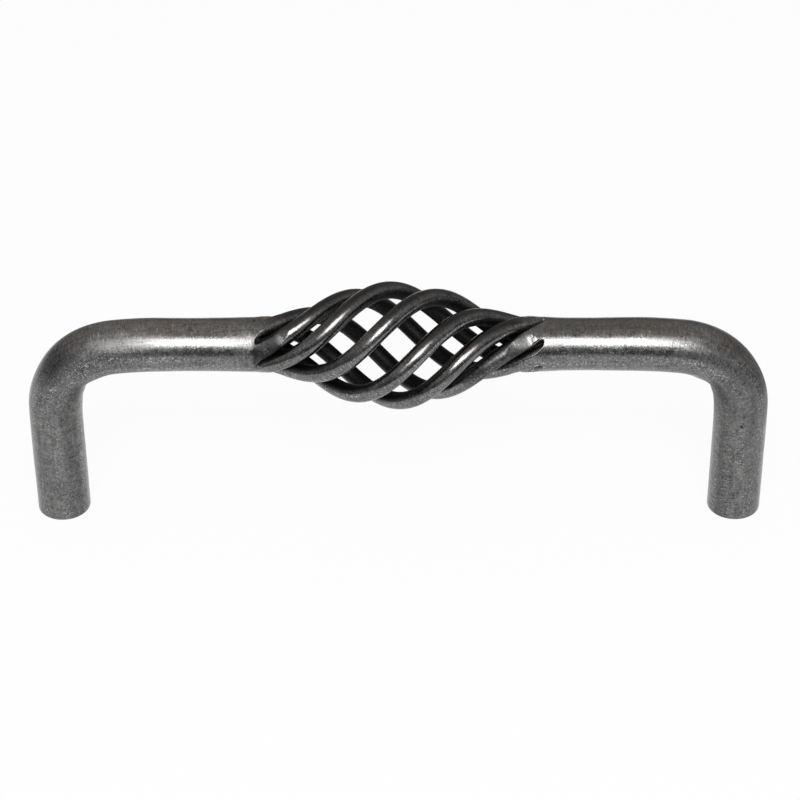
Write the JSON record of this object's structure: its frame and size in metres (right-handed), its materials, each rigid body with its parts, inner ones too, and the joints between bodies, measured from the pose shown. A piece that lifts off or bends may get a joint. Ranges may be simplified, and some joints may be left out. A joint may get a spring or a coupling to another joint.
{
  "type": "birdcage pull",
  "caption": "U-shaped cabinet pull of bent steel rod with a twisted wire birdcage in the middle of its grip and a tapped hole in each foot.",
  "frame": {"origin": "midway between the two screw holes, on the face that sits against the drawer front", "axes": "+X along the pull, +Z away from the drawer front towards the grip, +Y across the pull"},
  "size_m": [0.138, 0.0248, 0.0495],
  "materials": {
    "bar_steel": "dark antiqued steel, rubbed back to a soft sheen, fine speckle",
    "wire_steel": "dark antiqued steel, a little darker than the bars between the wires"
  },
  "bodies": {
    "root": {"left_bar": "bar_steel", "right_bar": "bar_steel", "cage_wire_1": "wire_steel", "cage_wire_2": "wire_steel", "cage_wire_3": "wire_steel", "cage_wire_4": "wire_steel", "cage_wire_5": "wire_steel", "cage_wire_6": "wire_steel"}
  },
  "joints": []
}
